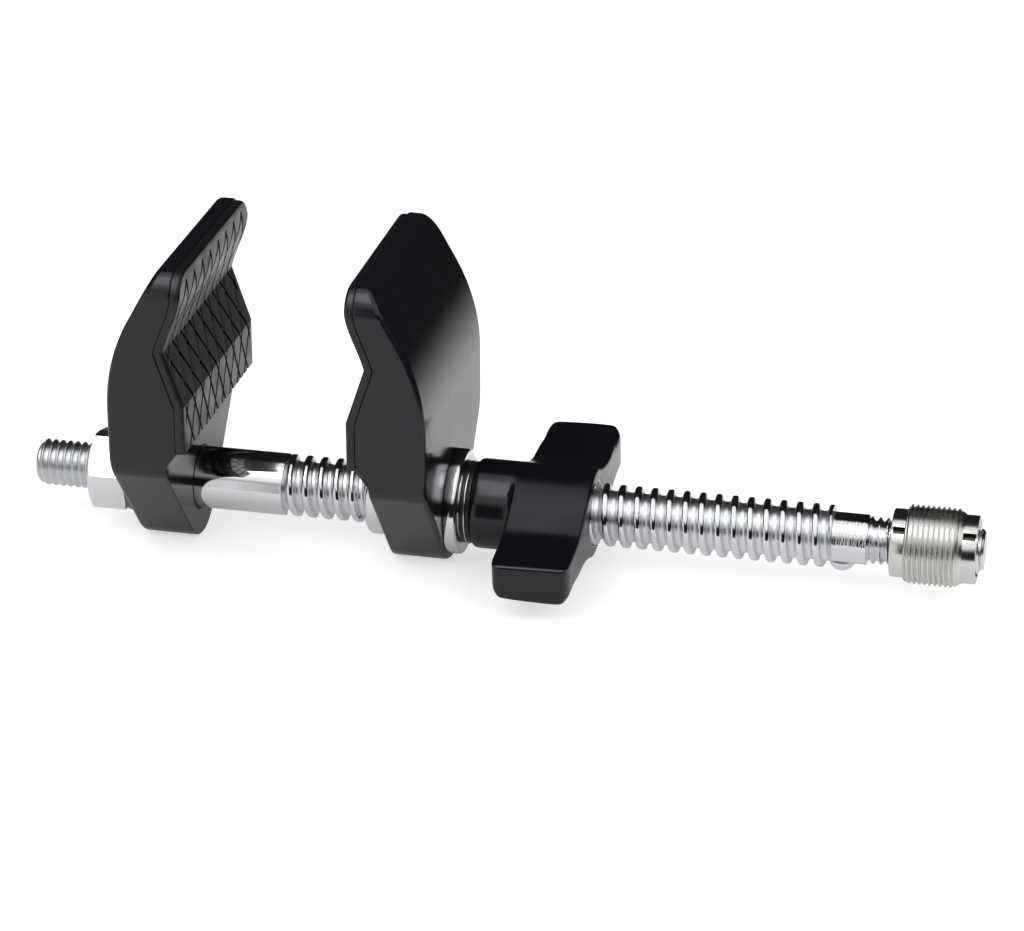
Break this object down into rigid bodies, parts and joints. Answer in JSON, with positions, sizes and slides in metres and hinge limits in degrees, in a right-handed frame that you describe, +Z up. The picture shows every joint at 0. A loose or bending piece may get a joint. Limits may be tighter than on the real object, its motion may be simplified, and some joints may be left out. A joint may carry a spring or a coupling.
{
  "type": "visor clamp",
  "caption": "Screw clamp with tall padded jaws on a threaded rod, a wing handle that drives the moving jaw, and a threaded stud at each end.",
  "frame": {"origin": "centre of the end face of the stud at the fixed-jaw end, on the rod's axis", "axes": "+X along the rod towards the end collar, +Z up through the jaws, +Y across the jaws"},
  "size_m": [0.2458, 0.071, 0.083],
  "materials": {
    "rod_chrome": "bright chrome plate over turned and thread-rolled steel",
    "zinc_plate": "bright zinc plate",
    "turned_steel": "turned bare steel",
    "jaw_paint": "semi-gloss black powder coat",
    "handle_paint": "gloss black coat",
    "pad_rubber": "moulded black rubber with diamond grooves"
  },
  "bodies": {
    "rod": {"main_rod": "rod_chrome", "hex_nut": "zinc_plate", "spring_washer": "zinc_plate", "flat_washer": "zinc_plate", "fixed_jaw": "jaw_paint", "fixed_jaw_pad": "pad_rubber", "jaw_pin": "turned_steel", "stop_screw": "rod_chrome", "end_collar": "turned_steel"},
    "sliding_jaw": {"moving_jaw": "jaw_paint", "moving_jaw_pad": "pad_rubber", "guide_bush": "rod_chrome", "thrust_cap": "rod_chrome", "thrust_washer": "turned_steel", "guide_screw": "turned_steel"},
    "handle": {"wing_handle": "handle_paint", "threaded_insert": "turned_steel"}
  },
  "joints": [
    {"name": "jaw_slide", "type": "slide", "parent": "rod", "child": "sliding_jaw", "axis": [1, 0, 0], "range_m": [-0.041, 0.0596]},
    {"name": "handle_turn", "type": "hinge", "parent": "sliding_jaw", "child": "handle", "pos_m": [0.132, 0, 0], "axis": [1, 0, 0], "range_deg": [-3600, 5220]}
  ],
  "couplings": [
    {"joint": "jaw_slide", "follows": "handle_turn", "m_per_rad": 0.00065253}
  ]
}
